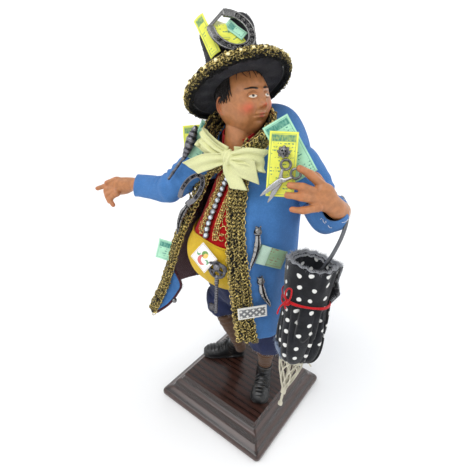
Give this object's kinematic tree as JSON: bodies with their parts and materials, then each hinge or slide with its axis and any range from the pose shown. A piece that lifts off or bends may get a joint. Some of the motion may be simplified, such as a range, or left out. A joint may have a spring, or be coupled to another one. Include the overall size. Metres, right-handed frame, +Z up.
{
  "type": "lucky hunchback figurine",
  "caption": "Neapolitan lucky hunchback figurine in a blue coat and gold-braided black hat, with paper notes, metal charms and a furled dotted umbrella, on a dark wooden plinth",
  "frame": {"origin": "the centre of the plinth's underside, on the surface it stands on", "axes": "+Z up through the figure; the figure faces -Y; +X is towards the figure's own left, where the umbrella hangs"},
  "size_m": [0.2002, 0.1057, 0.3041],
  "materials": {
    "plinth_wood": "dark stained hardwood, satin varnish",
    "painted_skin": "painted terracotta, satin",
    "painted_legs": "painted terracotta, brown stockings and black shoes, satin",
    "breeches_cloth": "navy cloth, matte",
    "waistcoat_cloth": "red felt, matte",
    "sash_cloth": "golden satin, soft sheen",
    "coat_cloth": "blue felt, matte, red lining",
    "gold_braid": "black and gold metallic thread braid",
    "hat_felt": "black felt, matte",
    "bow_ribbon": "pale yellow felt ribbon, matte",
    "stones": "clear cut stones in silvery mounts",
    "umbrella_cloth": "black cotton with white dots, matte",
    "red_string": "red cotton string",
    "net_cord": "cream cotton cord",
    "pewter": "cast pewter-coloured metal, dark in the hollows",
    "old_bronze": "dark antique bronze finish",
    "yellow_paper": "printed yellow paper, matte",
    "green_paper": "printed pale green paper, matte",
    "picture_card": "white card with a painted motif, satin"
  },
  "bodies": {
    "root": {"plinth": "plinth_wood", "leg_left": "painted_legs", "leg_right": "painted_legs", "breeches": "breeches_cloth", "waistcoat": "waistcoat_cloth", "sash": "sash_cloth", "hat": "hat_felt", "head": "painted_skin", "coat_back": "coat_cloth", "coat_front_left": "coat_cloth", "coat_front_right": "coat_cloth", "collar": "gold_braid", "braid_front_left": "gold_braid", "braid_front_right": "gold_braid", "hand_right": "painted_skin", "hand_left": "painted_skin", "sleeve_right": "coat_cloth", "sleeve_left": "coat_cloth", "hat_braid": "gold_braid", "hat_horseshoe": "pewter", "hat_note_left": "yellow_paper", "hat_note_middle": "yellow_paper", "bow_tie": "bow_ribbon", "stone_chain": "stones", "chain_left": "gold_braid", "chain_right": "gold_braid", "umbrella_canopy": "umbrella_cloth", "umbrella_string": "red_string", "umbrella_handle": "pewter", "umbrella_net": "net_cord", "sash_card": "picture_card", "sash_key": "old_bronze", "coat_horn_upper": "pewter", "coat_horn_lower": "pewter", "coat_note": "green_paper", "coat_tile": "pewter", "hand_note_yellow": "yellow_paper", "hand_note_green": "green_paper", "hand_scissors": "pewter", "hand_charm": "pewter", "shoulder_note_yellow": "yellow_paper", "shoulder_note_green": "green_paper", "shoulder_charm": "old_bronze", "elbow_horseshoe": "old_bronze", "elbow_horn": "pewter", "hem_note": "green_paper", "hem_bead": "pewter"}
  },
  "joints": []
}
